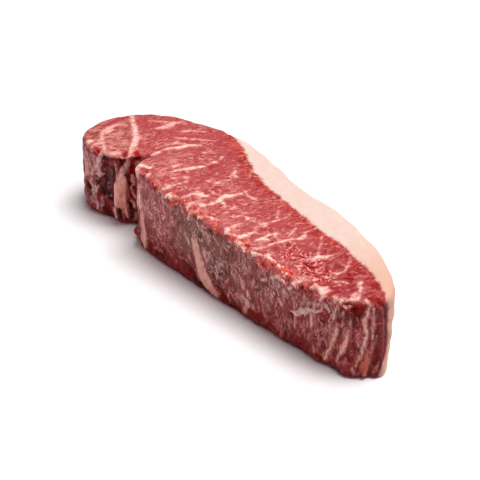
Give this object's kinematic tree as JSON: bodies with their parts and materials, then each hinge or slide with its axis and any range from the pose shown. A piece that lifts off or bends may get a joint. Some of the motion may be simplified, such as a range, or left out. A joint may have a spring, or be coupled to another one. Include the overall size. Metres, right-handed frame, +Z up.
{
  "type": "raw beef striploin steak",
  "caption": "Thick-cut raw beef striploin steak lying on a cut face, with a fat cap along one long side and a side muscle past a notch at its wide end.",
  "frame": {"origin": "under the middle of the bounding box, on the cut face that the steak lies on", "axes": "+X along the steak towards its narrow tail end, +Y towards the fat cap, +Z up through its thickness"},
  "size_m": [0.2176, 0.068, 0.0494],
  "materials": {
    "raw_beef": "wet, half-glossy raw meat"
  },
  "bodies": {
    "root": {"striploin_steak": "raw_beef"}
  },
  "joints": []
}
